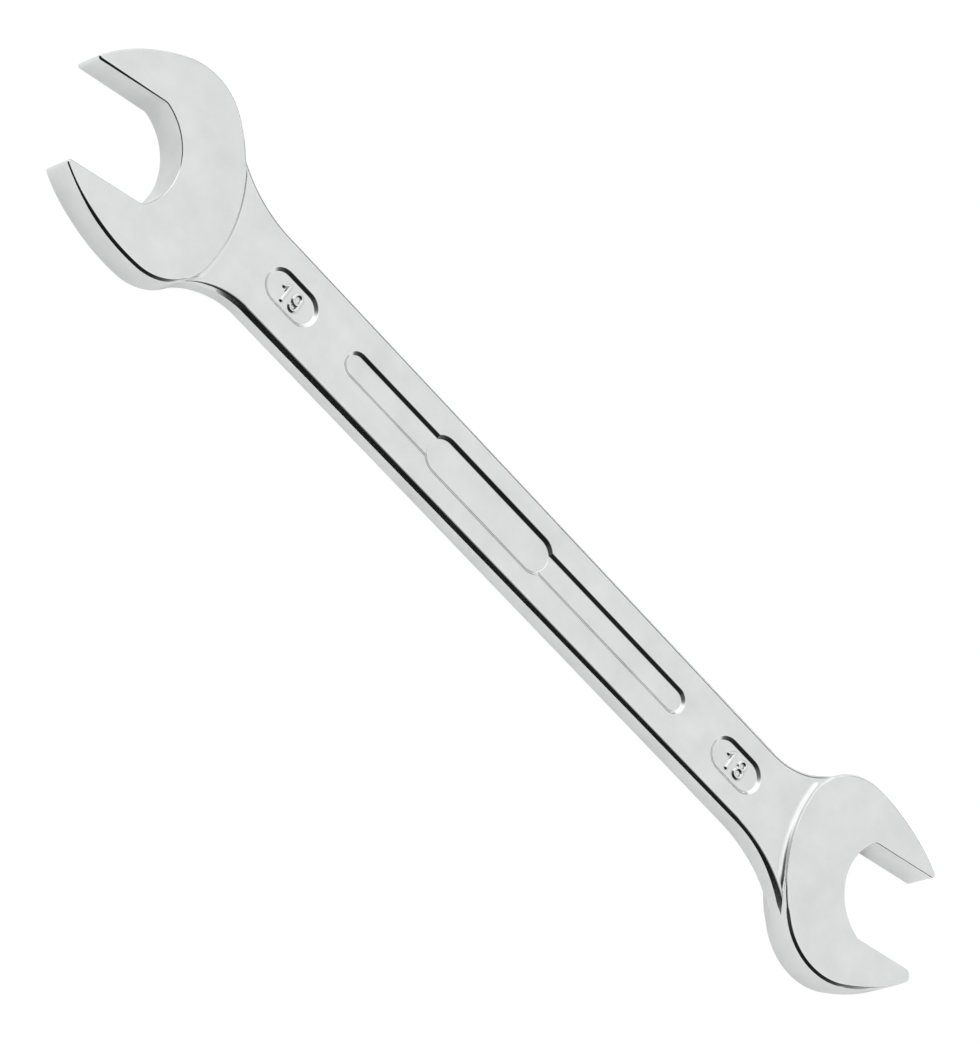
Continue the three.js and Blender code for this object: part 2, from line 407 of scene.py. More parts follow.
@dataclass(frozen=True)
class Head:
    """A head of the wrench, whose outline is made of arcs that run into each other.

    Args:
        nut: The size of its nut across flats.
        long: Its long jaw.
        short: Its short jaw.
        back_reach: How far its back is from the jaw centre.
        throat_depth: How far its throat is from the jaw centre.
        shank_width: The width of the shank at its jaw centre.
        far_shank_width: The width of the shank at the other jaw centre.
        centre: Its jaw centre in the plan.
        turn: The angle by which its opening is turned from -X.
        tip_edge: How large the edges of its flats are at the tips.
        nut_clearance: How much wider its opening is than the nut.
        back_radius: The radius of its back.
        back_shift: How far the back's centre is off the middle of the opening, to the short side.
        throat_slack: How much more the throat's radius is than half of the opening.
        throat_shift: How far the throat's centre is off that middle, to the short side.
        throat_corner_radius: The radius between a flat and the throat.
        mouth: How far out from the jaw centre the opening's edges start and stop growing.
        tips: How far out from it the outer edges start and stop shrinking.
        tip_share: The outer edges' size at the tips, as a share of their size elsewhere.
        side_blend: How far past a flat the opening's edge has become the outer one.
        back_margin: How far behind the throat every edge is an outer one.
    """

    nut: float
    long: Jaw
    short: Jaw
    back_reach: float
    throat_depth: float
    shank_width: float
    far_shank_width: float
    centre: Array
    turn: float
    tip_edge: float
    nut_clearance: float = 0.2
    back_radius: float = 29.0
    back_shift: float = 2.25
    throat_slack: float = 1.95
    throat_shift: float = 0.85
    throat_corner_radius: float = 1.6
    mouth: tuple[float, float] = (4.0, 13.0)
    tips: tuple[float, float] = (8.0, 16.0)
    tip_share: float = 0.5
    side_blend: float = 0.6
    back_margin: float = 1.5

    def side(self, jaw: Jaw) -> tuple[Run, Run, Run, Array, Array]:
        """Works out one side of the head, from the shank's side round to the throat.

        The cheek, the back, the corner between them and the tip are circles that touch. The flare
        touches the shank's side line, and the back or the corner, whichever it reaches first.

        Args:
            jaw: The jaw on this side.

        Returns:
            The whole side, its flare, its part of the back edge, and the centres of the throat's
            and the back's circles.
        """
        flat = (self.nut + self.nut_clearance) / 2
        cheek = np.array([jaw.crest, flat + jaw.height - jaw.cheek_radius])
        back = np.array([self.back_reach - self.back_radius, jaw.lean * self.back_shift])
        corner_radius, tip_radius = jaw.corner_radius, jaw.tip_radius
        corner = meeting(back, self.back_radius - corner_radius, cheek, jaw.cheek_radius - corner_radius)
        tip_line = np.array([0.0, flat + tip_radius])
        tip = last_on_line(tip_line, np.array([-1.0, 0.0]), cheek, jaw.cheek_radius - tip_radius)

        throat_radius = flat + self.throat_slack
        throat = np.array([self.throat_depth - throat_radius, jaw.lean * self.throat_shift])
        fillet_line = np.array([0.0, flat - self.throat_corner_radius])
        fillet_reach = throat_radius - self.throat_corner_radius
        fillet = last_on_line(fillet_line, np.array([1.0, 0.0]), throat, fillet_reach)

        here, far = self.beside(0, self.shank_width, jaw), self.beside(1, self.far_shank_width, jaw)
        shankwards = unit(far - here)
        flare_line = here + left_of(shankwards) * jaw.flare_radius
        corner_start = furthest(corner, corner_radius, back)
        flare = last_on_line(flare_line, shankwards, back, jaw.flare_radius + self.back_radius)
        on_back = np.dot(left_of(flare - back), corner_start - back) > 0
        if not on_back:
            flare = last_on_line(flare_line, shankwards, corner, jaw.flare_radius + corner_radius)
        flare_start = flare - left_of(shankwards) * jaw.flare_radius
        flare_end = nearest(flare, jaw.flare_radius, back if on_back else corner)
        cheek_start = furthest(corner, corner_radius, cheek)
        cheek_end = furthest(tip, tip_radius, cheek)
        flare_run = arc(flare, flare_start, flare_end, -1)
        corner_run = arc(corner, flare_end, cheek_start, 1)
        back_run = arc(corner, corner_start, flare_end, 1)
        if on_back:
            from_back = arc(corner, corner_start, cheek_start, 1)
            corner_run = chained(arc(back, flare_end, corner_start, 1), from_back)
            back_run = Run(flare_run.points[-1:], flare_run.outward[-1:])
        cheek_run = arc(cheek, cheek_start, cheek_end, 1)
        tip_run = arc(tip, cheek_end, np.array([tip[0], flat]), 1)
        throat_start = furthest(fillet, self.throat_corner_radius, throat)
        fillet_run = arc(fillet, np.array([fillet[0], flat]), throat_start, -1)
        whole = side_by_side(chained(flare_run, corner_run, cheek_run, tip_run), fillet_run)
        return whole, flare_run, back_run, throat, back

    def beside(self, share: float, width: float, jaw: Jaw) -> Array:
        """A point of the shank's side line, in the frame of this head.

        Args:
            share: How far along the shank's middle line, as a share of the way to the other head.
            width: The width of the shank there.
            jaw: The jaw on this side.

        Returns:
            The point.
        """
        angle = jaw.lean * HEAD_TURN
        along = np.array([math.cos(angle), math.sin(angle)])
        return share * JAW_CENTRE_DISTANCE * along + width / 2 * left_of(along)

    def edge_size(self, points: Array, outer: float, throat: float) -> Array:
        """How large the edge is at points of the outline.

        It is small in the throat and larger towards the tips. On the outer side it is largest, and
        it shrinks towards the tips.

        Args:
            points: The points in the plan.
            outer: The size on the outer side.
            throat: The size in the throat, at most the size at the tips.

        Returns:
            The size at each point.
        """
        shankwards = np.array([math.cos(self.turn), math.sin(self.turn)])
        x, y = (points - self.centre) @ shankwards, (points - self.centre) @ left_of(shankwards)
        past_flat = np.abs(y) - (self.nut + self.nut_clearance) / 2
        throat = min(throat, self.tip_edge)
        opening = throat + (self.tip_edge - throat) * between(-x, *self.mouth)
        outer = outer * (1 - (1 - self.tip_share) * between(-x, *self.tips))
        outside = np.maximum(eased(past_flat / self.side_blend), x > self.throat_depth + self.back_margin)
        return opening + (outer - opening) * outside

    def placed(self, run: Run) -> Run:
        """A run of this head, turned and moved to where the head is."""
        return run.turned(self.turn, self.centre)

    def runs(self) -> dict[str, Run]:
        """Works out the head's outline and what the shank needs of it.

        Returns:
            The outline, the two flares into the shank, and the back edge between them.
        """
        long_side, long_flare, long_back, throat, back = self.side(self.long)
        short_side, short_flare, short_back, _, _ = self.side(self.short)
        short_side, short_back = short_side.mirrored(), short_back.mirrored()
        throat_run = arc(throat, long_side.points[-1], short_side.points[0], -1)
        back_run = arc(back, short_back.points[-1], long_back.points[0], 1)
        return {
            "outline": self.placed(chained(long_side, throat_run, short_side)),
            "long_flare": self.placed(long_flare),
            "short_flare": self.placed(short_flare.mirrored()),
            "back_edge": self.placed(chained(short_back, back_run, long_back)),
        }


@dataclass(frozen=True)
class Recess:
    """A pressed recess with half round ends, whose walls slope down to a flat floor.

    Args:
        middle: Its middle along the shank.
        length: Its length at the rim.
        width: Its width at the rim.
        depth: How deep its floor is.
        draft: How far the foot of its wall is inside the rim.
        rim_radius: The radius of the convex arc at the rim.
        floor_radius: The radius of the concave arc at the floor.
        facets: The facets of each arc.
    """

    middle: float
    length: float
    width: float
    depth: float
    draft: float
    rim_radius: float = 0.4
    floor_radius: float = 0.35
    facets: int = 5

    @classmethod
    def oval(cls, middle: float) -> Recess:
        """The recess of a size number."""
        return cls(middle, length=12.4, width=7.3, depth=0.55, draft=0.95)

    def outline(self) -> Run:
        """The rim: two half circles joined by straight lines.

        Returns:
            The rim, anticlockwise.
        """
        reach, radius = (self.length - self.width) / 2, self.width / 2
        right, left = np.array([self.middle + reach, 0.0]), np.array([self.middle - reach, 0.0])
        up = np.array([0.0, radius])
        return side_by_side(arc(right, right - up, right + up, 1), arc(left, left + up, left - up, 1))

    def profile(self) -> tuple[Array, Array]:
        """The wall from the floor to the rim: a concave arc, a straight slope and a convex arc.

        Both arcs touch the slope. With R the sum of their radii, w the draft and d the depth, the
        slope's angle a solves (R - d) cos a + w sin a = R.

        Returns:
            How far each point is inside the rim, and how far it is below the face.
        """
        both = self.rim_radius + self.floor_radius
        across, down = self.draft, both - self.depth
        angle = math.atan2(across, down) - math.acos(both / math.hypot(across, down))
        turns = np.linspace(0, angle, self.facets + 1)
        floor_in = self.draft - self.floor_radius * np.sin(turns)
        floor_down = self.depth - self.floor_radius * (1 - np.cos(turns))
        rim_in = self.rim_radius * np.sin(turns[::-1])
        rim_down = self.rim_radius * (1 - np.cos(turns[::-1]))
        return np.concatenate([floor_in, rim_in]), np.concatenate([floor_down, rim_down])

    def cutter(self, face_height: float) -> Solid:
        """What is cut out of the upper face.

        Args:
            face_height: The height of the face.

        Returns:
            The cutting solid, which stands a little higher than the face itself.
        """
        run = self.outline()
        inset, down = self.profile()
        top = face_height + LIFT
        rings = [run.ring(i, top - d) for i, d in zip(inset, down)]
        rings.append(run.ring(-self.rim_radius / 2, top + self.rim_radius / 2))
        rings.append(run.ring(-self.rim_radius / 2, top + OVERRUN))
        return loft(rings)


@dataclass(frozen=True)
class SizeNumber:
    """A raised number on a recess's floor, its digits drawn with a flat topped round stroke.

    Args:
        digits: The digits to draw.
        shift: How far it is off the shank's middle line.
        height: How high a digit is.
        foot: Half the width of a stroke at its foot.
        crown: Half the width of a stroke's flat top.
        rise: How far a stroke stands off the floor.
        root: How far it reaches into the floor.
        gap: The space between two digits.
        facets: The facets of half a stroke's end, and of an eighth of a loop.
        edge: The section of a stroke's edges.
        flag: How wide and how high the flag of a one is.
        eight_top: Half the width and half the height of an eight's upper loop.
        eight_foot: The same of its lower loop.
        nine_loop: The same of a nine's loop.
        nine_sweep: The angle that a nine's tail turns through.
        bar_facets: The facets of a straight stroke.
        tail_facets: The facets of a nine's tail.
    """

    digits: str
    shift: float
    height: float = 4.4
    foot: float = 0.46
    crown: float = 0.08
    rise: float = 0.4
    root: float = 0.15
    gap: float = 0.73
    facets: int = 6
    edge: EdgeShape = EdgeShape(facets=4)
    flag: float = 1.0
    eight_top: tuple[float, float] = (0.72, 0.84)
    eight_foot: tuple[float, float] = (0.84, 0.93)
    nine_loop: tuple[float, float] = (0.8, 1.08)
    nine_sweep: float = math.radians(150)
    bar_facets: int = 3
    tail_facets: int = 15

    @property
    def reach(self) -> float:
        """How far a stroke's middle line goes above or below the middle of the digit."""
        return self.height / 2 - self.foot

    def profile(self) -> tuple[Array, Array]:
        """Half of the stroke's section, which is its edge between the foot and the crown.

        Returns:
            The distance from the stroke's middle line, and the height above the floor.
        """
        inward, down = self.edge.shares()
        out = self.foot - (self.foot - self.crown) * inward[::-1]
        up = self.rise * (1 - down[::-1])
        return np.concatenate([[self.foot], out]), np.concatenate([[-self.root], up])

    def bar(self, path: Array) -> Solid:
        """A stroke along an open path, with half round ends.

        Args:
            path: The stroke's middle line, an array of n by 2.

        Returns:
            The stroke on a floor at z = 0.
        """
        ways = np.gradient(path, axis=0)
        right = np.column_stack([ways[:, 1], -ways[:, 0]])
        right /= np.linalg.norm(right, axis=1, keepdims=True)
        fan = np.linspace(0, math.pi, 2 * self.facets + 1)[1:-1, None]
        ahead, behind = left_of(right[-1]), -left_of(right[0])
        end = Run(np.repeat(path[-1:], len(fan), 0), np.cos(fan) * right[-1] + np.sin(fan) * ahead)
        start = Run(np.repeat(path[:1], len(fan), 0), np.cos(fan) * -right[0] + np.sin(fan) * behind)
        round_it = side_by_side(Run(path, right), end, Run(path[::-1], -right[::-1]), start)
        return loft([round_it.ring(-out, up) for out, up in zip(*self.profile())])

    def hoop(self, middle: Array, radii: Array) -> Solid:
        """A stroke round an ellipse: middle + (a cos t, b sin t).

        Args:
            middle: The middle of the ellipse.
            radii: Its half width and half height, a and b.

        Returns:
            The stroke on a floor at z = 0.
        """
        turns = np.linspace(0, 2 * math.pi, 8 * self.facets, endpoint=False)[:, None]
        across = np.column_stack([np.cos(turns), np.sin(turns)])
        normals = across / radii
        run = Run(middle + radii * across, normals / np.linalg.norm(normals, axis=1, keepdims=True))
        out, up = self.profile()
        outer = [run.ring(-o, u) for o, u in zip(out, up)]
        inner = [run.ring(o, u) for o, u in zip(out[::-1], up[::-1])]
        return loft(outer + inner, hollow=True)

    def one(self) -> tuple[list[Solid], float]:
        """Draws a one.

        Returns:
            Its strokes, and the width between their middle lines.
        """
        steps = np.linspace(0, 1, self.bar_facets + 1)[:, None]
        start = np.array([0.0, self.reach - self.flag])
        corner, foot = np.array([self.flag, self.reach]), np.array([self.flag, -self.reach])
        flag, stem = (1 - steps) * start + steps * corner, (1 - steps) * corner + steps * foot
        return [self.bar(flag), self.bar(stem)], self.flag

    def eight(self) -> tuple[list[Solid], float]:
        """Draws an eight.

        Returns:
            Its strokes, and the width between their middle lines.
        """
        upper, lower = np.array(self.eight_top), np.array(self.eight_foot)
        middle = max(upper[0], lower[0])
        hoops = [
            self.hoop(np.array([middle, self.reach - upper[1]]), upper),
            self.hoop(np.array([middle, lower[1] - self.reach]), lower),
        ]
        return hoops, 2 * middle

    def nine(self) -> tuple[list[Solid], float]:
        """Draws a nine, whose tail drops from its loop's side into a bowl.

        Returns:
            Its strokes, and the width between their middle lines.
        """
        half, rise = self.nine_loop
        loop = np.array(self.nine_loop)
        turns = np.linspace(0, -self.nine_sweep, self.tail_facets + 1)
        bowl = np.array([half, rise - self.reach]) + loop * np.column_stack([np.cos(turns), np.sin(turns)])
        tail = np.concatenate([[[2 * half, self.reach - rise]], bowl])
        return [self.hoop(np.array([half, self.reach - rise]), loop), self.bar(tail)], 2 * half

    def solids(self, recess: Recess, face: float) -> list[Solid]:
        """The strokes of every digit, side by side and centred in a recess.

        Args:
            recess: The recess on whose floor the number stands.
            face: The height of the face that the recess is in.

        Returns:
            The strokes in their places.
        """
        drawn = {"1": self.one, "8": self.eight, "9": self.nine}
        made = [drawn[digit]() for digit in self.digits]
        space = self.gap + 2 * self.foot
        width = sum(each for _, each in made) + space * (len(made) - 1)
        x = recess.middle - width / 2
        placed: list[Solid] = []
        for strokes, each in made:
            placed += [stroke.moved(x, self.shift, face - recess.depth) for stroke in strokes]
            x += each + space
        return placed


class NodeBench:
    """Makes and joins the nodes of one tree.

    Args:
        tree: The tree, whose nodes are cleared.
    """

    def __init__(self, tree: bpy.types.NodeTree) -> None:
        """Starts with an empty tree."""
        self.tree = tree
        tree.nodes.clear()

    def add(self, kind: str, inputs: Inputs | None = None, **settings: str) -> bpy.types.Node:
        """Makes a node.

        Args:
            kind: Its type.
            inputs: What each input gets, by its name or number: a socket to read, or a value.
            settings: Its settings.

        Returns:
            The new node.
        """
        node = self.tree.nodes.new(kind)
        for name, setting in settings.items():
            setattr(node, name, setting)
        for key, value in (inputs or {}).items():
            if isinstance(value, Socket):
                self.tree.links.new(value, node.inputs[key])
            else:
                node.inputs[key].default_value = value
        return node

    def math(self, operation: str, first: Socket, second: Socket | float) -> Socket:
        """The result of a sum on one socket and another socket or a number."""
        return self.add("ShaderNodeMath", {0: first, 1: second}, operation=operation).outputs[0]

    def mix(self, share: Socket, first: Socket | float, second: float) -> Socket:
        """A number that goes from the first to the second as the share goes from 0 to 1."""
        ends = {"Factor": share, "A": first, "B": second}
        return self.add("ShaderNodeMix", ends, data_type="FLOAT").outputs["Result"]

    def shader_mix(self, share: Socket, first: Socket, second: Socket) -> Socket:
        """A surface that goes from the first to the second as the share goes from 0 to 1."""
        return self.add("ShaderNodeMixShader", {"Fac": share, 1: first, 2: second}).outputs["Shader"]

    def scaled(self, share: Socket, low: float, high: float) -> Socket:
        """A number from low to high as the share goes from 0 to 1."""
        ends = {"Value": share, "To Min": low, "To Max": high}
        return self.add("ShaderNodeMapRange", ends).outputs["Result"]

    def camera_rays(self) -> Socket:
        """1 on the rays that the camera sees, straight or through glass, and 0 on the others."""
        path = self.add("ShaderNodeLightPath").outputs
        return self.math("MAXIMUM", path["Is Camera Ray"], path["Is Transmission Ray"])


@dataclass(frozen=True)
class Pattern:
    """A noise pattern.

    Args:
        size: The width of its spots.
        detail: How many finer layers it has.
    """

    size: float
    detail: float

    def value(self, bench: NodeBench, place: Socket) -> Socket:
        """Its value, from 0 to 1, at the coordinates."""
        inputs = {"Vector": place, "Scale": 1 / (self.size * METRES_PER_MM), "Detail": self.detail}
        return bench.add("ShaderNodeTexNoise", inputs).outputs["Fac"]


@dataclass(frozen=True)
class SatinChrome:
    """Satin chrome plate: bright metal with a fine grain and the faint waves of a ground forging.

    Args:
        colour: The plate's colour.
        roughness: How far the edges and the sides blur what they mirror.
        ground_roughness: How far the ground faces do.
        ground_metal: How much of the light on the ground faces is mirrored and not scattered.
        clouds: The slow change of the colour and the roughness.
        colour_spread: How far the colour goes up and down with the clouds, as a share.
        roughness_spread: How far the roughness does.
        waves: The waves that grinding leaves.
        wave_height: How high they are.
        grain: The grain of the plate.
        grain_height: How high it is.
    """

    colour: tuple[float, float, float] = (0.8, 0.81, 0.808)
    roughness: float = 0.15
    ground_roughness: float = 0.5
    ground_metal: float = 0.7
    clouds: Pattern = Pattern(size=6.0, detail=4.0)
    colour_spread: float = 0.13
    roughness_spread: float = 0.05
    waves: Pattern = Pattern(size=5.0, detail=3.0)
    wave_height: float = 0.006
    grain: Pattern = Pattern(size=0.16, detail=2.0)
    grain_height: float = 0.0001

    def material(self) -> bpy.types.Material:
        """The plate as a material.

        Returns:
            The material, which reads object coordinates and the attribute of the ground faces.
        """
        material = bpy.data.materials.new("satin_chrome")
        material.use_nodes = True
        bench = NodeBench(material.node_tree)
        place = bench.add("ShaderNodeTexCoord").outputs["Object"]
        cloud = self.clouds.value(bench, place)
        ground = bench.add("ShaderNodeAttribute", attribute_name=GROUND_FACES).outputs["Fac"]
        blur = bench.scaled(ground, self.roughness, self.ground_roughness)
        change = bench.math("MULTIPLY", bench.math("SUBTRACT", cloud, 0.5), 2 * self.roughness_spread)
        plate = bench.add("ShaderNodeBsdfPrincipled", {
            "Base Color": self.tint(bench, cloud),
            "Metallic": bench.scaled(ground, 1.0, self.ground_metal),
            "Roughness": bench.math("ADD", blur, change),
            "Normal": self.relief(bench, place),
        })
        bench.add("ShaderNodeOutputMaterial", {"Surface": plate.outputs["BSDF"]})
        return material

    def tint(self, bench: NodeBench, cloud: Socket) -> Socket:
        """The colour, a little darker or lighter with the clouds.

        Args:
            bench: Where its node is made.
            cloud: The clouds, from 0 to 1.

        Returns:
            The colour.
        """
        dark = tuple(value * (1 - self.colour_spread) for value in self.colour)
        light = tuple(min(value * (1 + self.colour_spread), 1.0) for value in self.colour)
        ends = {"Factor": cloud, "A": (*dark, 1.0), "B": (*light, 1.0)}
        return bench.add("ShaderNodeMix", ends, data_type="RGBA").outputs["Result"]

    def relief(self, bench: NodeBench, place: Socket) -> Socket:
        """The normals of the waves, with the grain on them."""
        waves = self.bump(bench, self.waves.value(bench, place), self.wave_height, {})
        return self.bump(bench, self.grain.value(bench, place), self.grain_height, {"Normal": waves})

    def bump(self, bench: NodeBench, rise: Socket, height: float, under: Mapping[str, Socket]) -> Socket:
        """The normals of a relief.

        Args:
            bench: Where its node is made.
            rise: The relief, from 0 to 1.
            height: How high a rise of 1 is.
            under: The normals that it lies on, if it doesn't lie on the mesh itself.

        Returns:
            Its normals.
        """
        inputs = {"Height": rise, "Strength": 1.0, "Distance": height * METRES_PER_MM, **under}
        return bench.add("ShaderNodeBump", inputs).outputs["Normal"]


def toward(azimuth: float, elevation: float) -> Vector:
    """The unit way to a point at an azimuth, anticlockwise from +X, and an elevation, in degrees."""
    turn, rise = math.radians(azimuth), math.radians(elevation)
    return Vector((math.cos(turn) * math.cos(rise), math.sin(turn) * math.cos(rise), math.sin(rise)))


@dataclass
class Forging:
    """The whole wrench, as one forging of two heads, a shank, recesses and raised numbers.

    Args:
        head_thickness: The thickness of the heads.
        shank_thickness: The thickness of the shank.
        shank_widths: The width of the shank at the large head's jaw centre and at the small one's.
        step_edge: How large the edge is where a head steps down to the shank.
        step_facets: The facets of the step's concave fillet.
        brim_facets: The facets of the step's edge.
        crease: The angle from which an edge is shaded as sharp.
        level_normal: How upright a face's normal is, at least, on a ground face.
        edge: The section of the heads' edges.
        outer_edge: How large the heads' edges are outside.
        throat_edge: How large they are in the throats.
        bevel: The section of the shank's edges.
        bevel_inset: How far the shank's bevel reaches inside the outline.
        bevel_depth: How deep it is at each jaw centre.
        bulge: How far the shank's side stands out past the outline at each jaw centre.
        bulge_runout: Within how far of the large head's and the small head's notches it runs out.
        thin_reach: Within how far of the large head's notches the bevel is thinner.
        thinned: By what share it is, at the notch on the long side and on the short side.
        deep_reach: Within how far of the small head's notch on the long side the bevel is deeper.
        deepened: By what share it is deeper there.
        widened: By what share it is wider there.
        large_oval: The recess of the large head's number.
        small_oval: The recess of the small head's number.
        groove: The long recess between them.
        panel: The wider one across it.
        large_number: The large head's number.
        small_number: The small head's number.
        finish: The finish of all of it.
    """

    head_thickness: float = 7.2
    shank_thickness: float = 4.8
    shank_widths: tuple[float, float] = (17.1, 15.1)
    step_edge: float = 0.15
    step_facets: int = 10
    brim_facets: int = 5
    crease: float = math.radians(28)
    level_normal: float = 0.9999
    edge: EdgeShape = EdgeShape()
    outer_edge: float = 0.55
    throat_edge: float = 0.17
    bevel: EdgeShape = EdgeShape(bevel=math.radians(58), tight=0.08)
    bevel_inset: float = 0.7
    bevel_depth: tuple[float, float] = (1.22, 0.42)
    bulge: tuple[float, float] = (0.46, 0.22)
    bulge_runout: tuple[float, float] = (8.0, 3.0)
    thin_reach: float = 13.0
    thinned: tuple[float, float] = (0.15, 0.5)
    deep_reach: float = 16.0
    deepened: float = 1.6
    widened: float = 0.1
    large_oval: Recess = Recess.oval(-57.8)
    small_oval: Recess = Recess.oval(60.2)
    groove: Recess = Recess(middle=1.2, length=89.6, width=5.6, depth=0.55, draft=0.95)
    panel: Recess = Recess(middle=-6.1, length=32.4, width=8.1, depth=0.62, draft=1.0)
    large_number: SizeNumber = SizeNumber("19", shift=0.02)
    small_number: SizeNumber = SizeNumber("18", shift=0.17)
    finish: SatinChrome = SatinChrome()

    def heads(self) -> tuple[Head, Head]:
        """The heads in their places.

        Returns:
            The large head and the small one.
        """
        reach = np.array([JAW_CENTRE_DISTANCE / 2, 0.0])
        wide, narrow = self.shank_widths
        large = Head(
            nut=19.0,
            long=Jaw.long(height=11.2, tip_radius=0.5, flare_radius=28.0),
            short=Jaw.short(height=11.3, flare_radius=16.0),
            back_reach=15.65,
            throat_depth=2.2,
            shank_width=wide,
            far_shank_width=narrow,
            centre=-reach,
            turn=HEAD_TURN,
            tip_edge=0.4,
        )
        small = Head(
            nut=18.0,
            long=Jaw.long(height=11.4, tip_radius=1.3, flare_radius=26.0),
            short=Jaw.short(height=10.6, flare_radius=15.0),
            back_reach=13.8,
            throat_depth=0.7,
            shank_width=narrow,
            far_shank_width=wide,
            centre=reach,
            turn=HEAD_TURN + math.pi,
            tip_edge=0.1,
        )
        return large, small

    def plate(
        self, run: Run, thickness: float, section: EdgeShape, width: Array, depth: Array, bulge: Array
    ) -> Solid:
        """A plate about z = 0, with an edge between each face and the side.

        Args:
            run: Its outline.
            thickness: Its thickness.
            section: The section of its edges.
            width: How wide the edge is at each point, as seen from above.
            depth: How deep the edge is at each point.
            bulge: How far the side stands out past the outline at each point.

        Returns:
            The plate.
        """
        upper = [
            run.ring(width * inward - bulge, thickness / 2 - depth * down)
            for inward, down in zip(*section.shares())
        ][::-1]
        return loft([*upside_down(upper), *upper])

    def shank(self, large: dict[str, Run], small: dict[str, Run]) -> Solid:
        """The shank, whose bevelled sides narrow towards the small head.

        The bevel's depth and the side's bulge change evenly between the jaw centres. Near the
        notches, where the flares end at the heads, the bulge runs out to meet the heads' sides. The
        bevel is also thinner near the large head's notches, and deeper and a little wider near the
        notch on the small head's long side.

        Args:
            large: The large head's runs.
            small: The small head's runs.

        Returns:
            The shank.
        """
        run = side_by_side(
            large["short_flare"], small["long_flare"], small["short_flare"], large["long_flare"]
        )
        ends = [-JAW_CENTRE_DISTANCE / 2, JAW_CENTRE_DISTANCE / 2]
        depth, bulge = (np.interp(run.points[:, 0], ends, each) for each in (self.bevel_depth, self.bulge))
        large_long, small_long, large_short, small_short = (
            np.linalg.norm(run.points - notch, axis=1)
            for notch in (
                large["long_flare"].points[-1], small["long_flare"].points[-1],
                large["short_flare"].points[0], small["short_flare"].points[0],
            )
        )
        from_large, from_small = np.minimum(large_long, large_short), np.minimum(small_long, small_short)
        large_runout, small_runout = self.bulge_runout
        whole = eased(from_large / large_runout) * eased(from_small / small_runout)
        narrowed = (self.bevel_inset + bulge * whole) / (self.bevel_inset + bulge)
        long_thinned, short_thinned = self.thinned
        thin = 1 - long_thinned * (1 - eased(large_long / self.thin_reach))
        thin = thin * (1 - short_thinned * (1 - eased(large_short / self.thin_reach)))
        deep = 1 - eased(small_long / self.deep_reach)
        width = (self.bevel_inset + bulge * whole) * thin * (1 + self.widened * deep)
        depth = depth * narrowed * thin * (1 + self.deepened * deep)
        return self.plate(run, self.shank_thickness, self.bevel, width, depth, bulge * whole * thin)

    def head_space(self, head: Head, runs: dict[str, Run]) -> Solid:
        """Everything on a head's side of its back edge, with the concave fillet of the step.

        The fillet is a quarter circle as wide and as high as the step. Where the shank's bevel is
        nearer than that, the fillet narrows and the step's top edge grows to the size of the head's.

        Args:
            head: The head.
            runs: The head's runs.

        Returns:
            The space.
        """
        step = (self.head_thickness - self.shank_thickness) / 2
        back_edge = runs["back_edge"]
        first, last = back_edge.points[0], back_edge.points[-1]
        flares = np.concatenate([runs["long_flare"].points, runs["short_flare"].points])
        gap = np.linalg.norm(back_edge.points[:, None] - flares, axis=2).min(axis=1)
        share = eased((gap - self.bevel_inset) / step)
        off = JAW_CENTRE_DISTANCE / 2
        front = np.array([[-off, off], [-off, -off]])
        away = Run(front, np.zeros_like(front)).turned(head.turn, head.centre).points
        around = np.array([
            last + back_edge.outward[-1] * off, away[0], away[1], first + back_edge.outward[0] * off,
        ])
        run = side_by_side(back_edge, Run(around, np.zeros_like(around)))
        wide = np.append(share, np.zeros(len(around)))
        edge = self.outer_edge + (self.step_edge - self.outer_edge) * wide
        top = self.head_thickness / 2 + LIFT
        drop = step - edge + 2 * LIFT
        fillet = [
            run.ring(wide * step * (math.cos(turn) - 1), top - edge - drop * math.sin(turn))
            for turn in quarter_turn(self.step_facets)[::-1]
        ]
        brim = [
            run.ring(edge * (1 - math.cos(turn)), top - edge * (1 - math.sin(turn)))
            for turn in quarter_turn(self.brim_facets)[1:]
        ]
        upper = [*fillet, *brim, run.ring(2 * edge, top + edge), run.ring(2 * edge, top + OVERRUN)]
        return loft([*upside_down(upper), *upper])

    def body(self) -> Solid:
        """Joins the heads and the shank, cuts the recesses and raises the numbers, on both faces.

        Returns:
            The whole forging, with the middle of its thickness at z = 0.
        """
        large, small = self.heads()
        large_runs, small_runs = large.runs(), small.runs()
        outline = side_by_side(large_runs["outline"], small_runs["outline"])
        large_edges, small_edges = (
            head.edge_size(outline.points, self.outer_edge, self.throat_edge) for head in (large, small)
        )
        edges = np.where(outline.points[:, 0] < 0, large_edges, small_edges)
        blank = self.plate(outline, self.head_thickness, self.edge, edges, edges, np.zeros(len(edges)))
        spaces = self.head_space(large, large_runs).combined(
            Joining.ADD, [self.head_space(small, small_runs)]
        )
        heads = blank.combined(Joining.SHARE, [spaces])
        shank = self.shank(large_runs, small_runs)
        joined = shank.combined(Joining.ADD, [heads])
        face = self.shank_thickness / 2
        cutters = [each.cutter(face) for each in (self.large_oval, self.small_oval, self.groove, self.panel)]
        cut = joined.combined(Joining.CUT, cutters + [cutter.turned_over() for cutter in cutters])
        strokes = [
            *self.large_number.solids(self.large_oval, face),
            *self.small_number.solids(self.small_oval, face),
        ]
        return cut.combined(Joining.ADD, strokes + [stroke.turned_over() for stroke in strokes])

